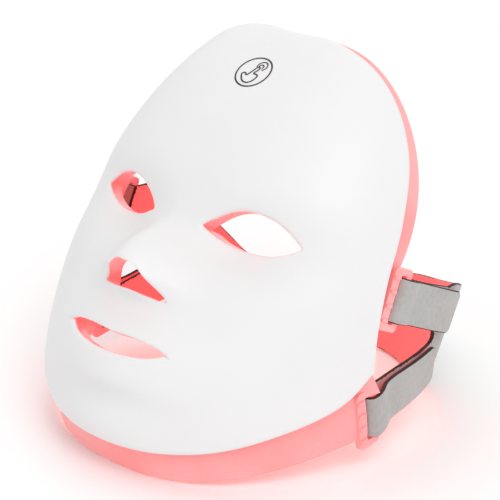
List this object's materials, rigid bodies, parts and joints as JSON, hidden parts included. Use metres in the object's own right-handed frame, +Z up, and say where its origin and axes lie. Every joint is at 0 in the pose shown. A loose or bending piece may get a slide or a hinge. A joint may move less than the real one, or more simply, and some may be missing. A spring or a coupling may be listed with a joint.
{
  "type": "led face mask",
  "caption": "Light therapy face mask: white shell over a red-lit translucent shell, with slotted lugs and a wrap-round head strap.",
  "frame": {"origin": "centre of the footprint, on the table the mask rests on", "axes": "+Z up; -Y the way the mask faces as it leans back on its strap; +X the wearer's left"},
  "size_m": [0.2038, 0.2213, 0.1885],
  "materials": {
    "white_shell": "satin",
    "clear_shell": "translucent, lit red",
    "dark_print": "printed",
    "copper": "thin foil",
    "dark_foam": "foam",
    "circuit_board": "solder mask",
    "black_package": "moulded",
    "steel": "plated",
    "battery_film": "pouch foil",
    "lead_sleeve": "wire sleeve",
    "circuit_film": "white polyimide film",
    "red_led": "lit LED package",
    "grey_strap": "laminated knit",
    "hook_tape": "moulded hooks"
  },
  "bodies": {
    "mask": {"outer_shell": "white_shell", "inner_shell": "clear_shell", "headgear_band": "grey_strap", "touch_mark": "dark_print", "touch_sensor": "copper", "sensor_contact": "dark_foam", "control_board": "circuit_board", "board_chips": "black_package", "board_screws": "steel", "buzzer": "black_package", "battery": "battery_film", "battery_pad": "dark_foam", "charge_port": "steel", "port_board": "circuit_board", "left_loom": "lead_sleeve", "right_loom": "lead_sleeve", "battery_lead": "lead_sleeve", "led_film_forehead": "circuit_film", "led_film_left": "circuit_film", "led_film_right": "circuit_film", "led_film_chin": "circuit_film", "leds_forehead": "red_led", "leds_left": "red_led", "leds_right": "red_led", "leds_chin": "red_led"},
    "upper_left_tab": {"upper_left_tab": "grey_strap", "upper_left_hook_pad": "hook_tape"},
    "upper_right_tab": {"upper_right_tab": "grey_strap", "upper_right_hook_pad": "hook_tape"},
    "lower_left_tab": {"lower_left_tab": "grey_strap", "lower_left_hook_pad": "hook_tape"},
    "lower_right_tab": {"lower_right_tab": "grey_strap", "lower_right_hook_pad": "hook_tape"}
  },
  "joints": [
    {"name": "upper_left_peel", "type": "hinge", "parent": "mask", "child": "upper_left_tab", "pos_m": [0.098, 0.00273, 0.07924], "axis": [0, -0.4321, -0.9018], "range_deg": [0, 100]},
    {"name": "upper_right_peel", "type": "hinge", "parent": "mask", "child": "upper_right_tab", "pos_m": [-0.098, 0.00273, 0.07924], "axis": [0, 0.4321, 0.9018], "range_deg": [0, 100]},
    {"name": "lower_left_peel", "type": "hinge", "parent": "mask", "child": "lower_left_tab", "pos_m": [0.098, -0.01499, 0.02765], "axis": [0, 0.1288, -0.9917], "range_deg": [0, 100]},
    {"name": "lower_right_peel", "type": "hinge", "parent": "mask", "child": "lower_right_tab", "pos_m": [-0.098, -0.01499, 0.02765], "axis": [0, -0.1288, 0.9917], "range_deg": [0, 100]}
  ]
}
